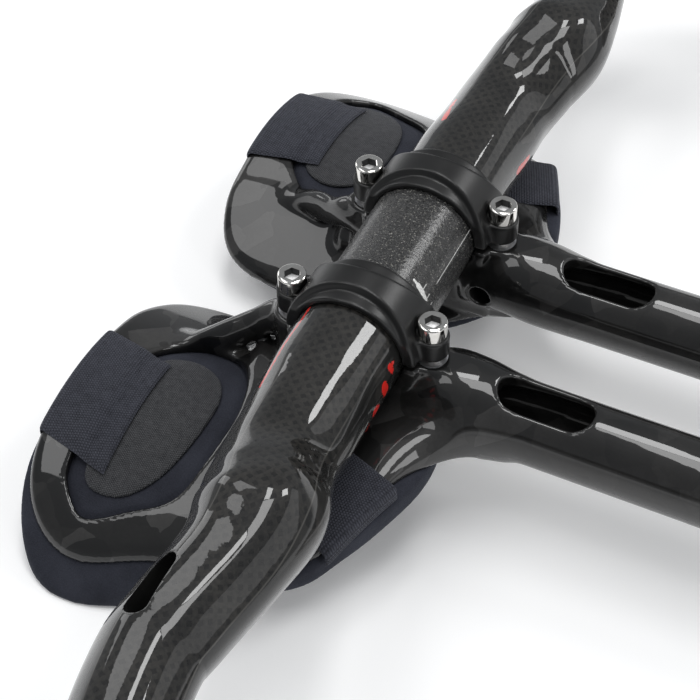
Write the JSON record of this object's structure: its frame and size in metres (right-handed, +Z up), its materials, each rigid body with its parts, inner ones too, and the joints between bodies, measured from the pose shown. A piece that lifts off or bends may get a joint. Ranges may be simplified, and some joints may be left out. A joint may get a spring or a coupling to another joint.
{
  "type": "aero base bar",
  "caption": "Faceted aero base bar with a round stem clamp zone, clamped-on extensions, arched arm cups, foam pads and hook-and-loop straps.",
  "frame": {"origin": "centre of the stem clamp zone, on the bar's axis", "axes": "as it lies in the picture, upside down on its arm pads: +Z up, +Y along the bar to the far side in the picture, +X toward the extension tips (forward on the bicycle)"},
  "size_m": [0.3784, 0.4202, 0.0745],
  "materials": {
    "bar_carbon": "clear-coated woven carbon fibre, gritty at the stem clamp",
    "extension_carbon": "clear-coated carbon fibre",
    "cap_black": "satin black",
    "bolt_steel": "bright, socket head",
    "insert_metal": "plain turned",
    "pad_foam": "matte brushed foam",
    "loop_fabric": "fine woven loop",
    "strap_knit": "ribbed elastic knit"
  },
  "bodies": {
    "root": {"base_bar": "bar_carbon", "left_extension": "extension_carbon", "right_extension": "extension_carbon", "left_clamp_cap": "cap_black", "right_clamp_cap": "cap_black", "left_front_bolt": "bolt_steel", "left_rear_bolt": "bolt_steel", "right_front_bolt": "bolt_steel", "right_rear_bolt": "bolt_steel", "left_front_insert": "insert_metal", "left_rear_insert": "insert_metal", "right_front_insert": "insert_metal", "right_rear_insert": "insert_metal", "left_arm_pad": "pad_foam", "right_arm_pad": "pad_foam", "left_loop_patch": "loop_fabric", "right_loop_patch": "loop_fabric", "left_rear_strap": "strap_knit", "right_rear_strap": "strap_knit", "left_front_strap": "strap_knit", "right_front_strap": "strap_knit"}
  },
  "joints": []
}
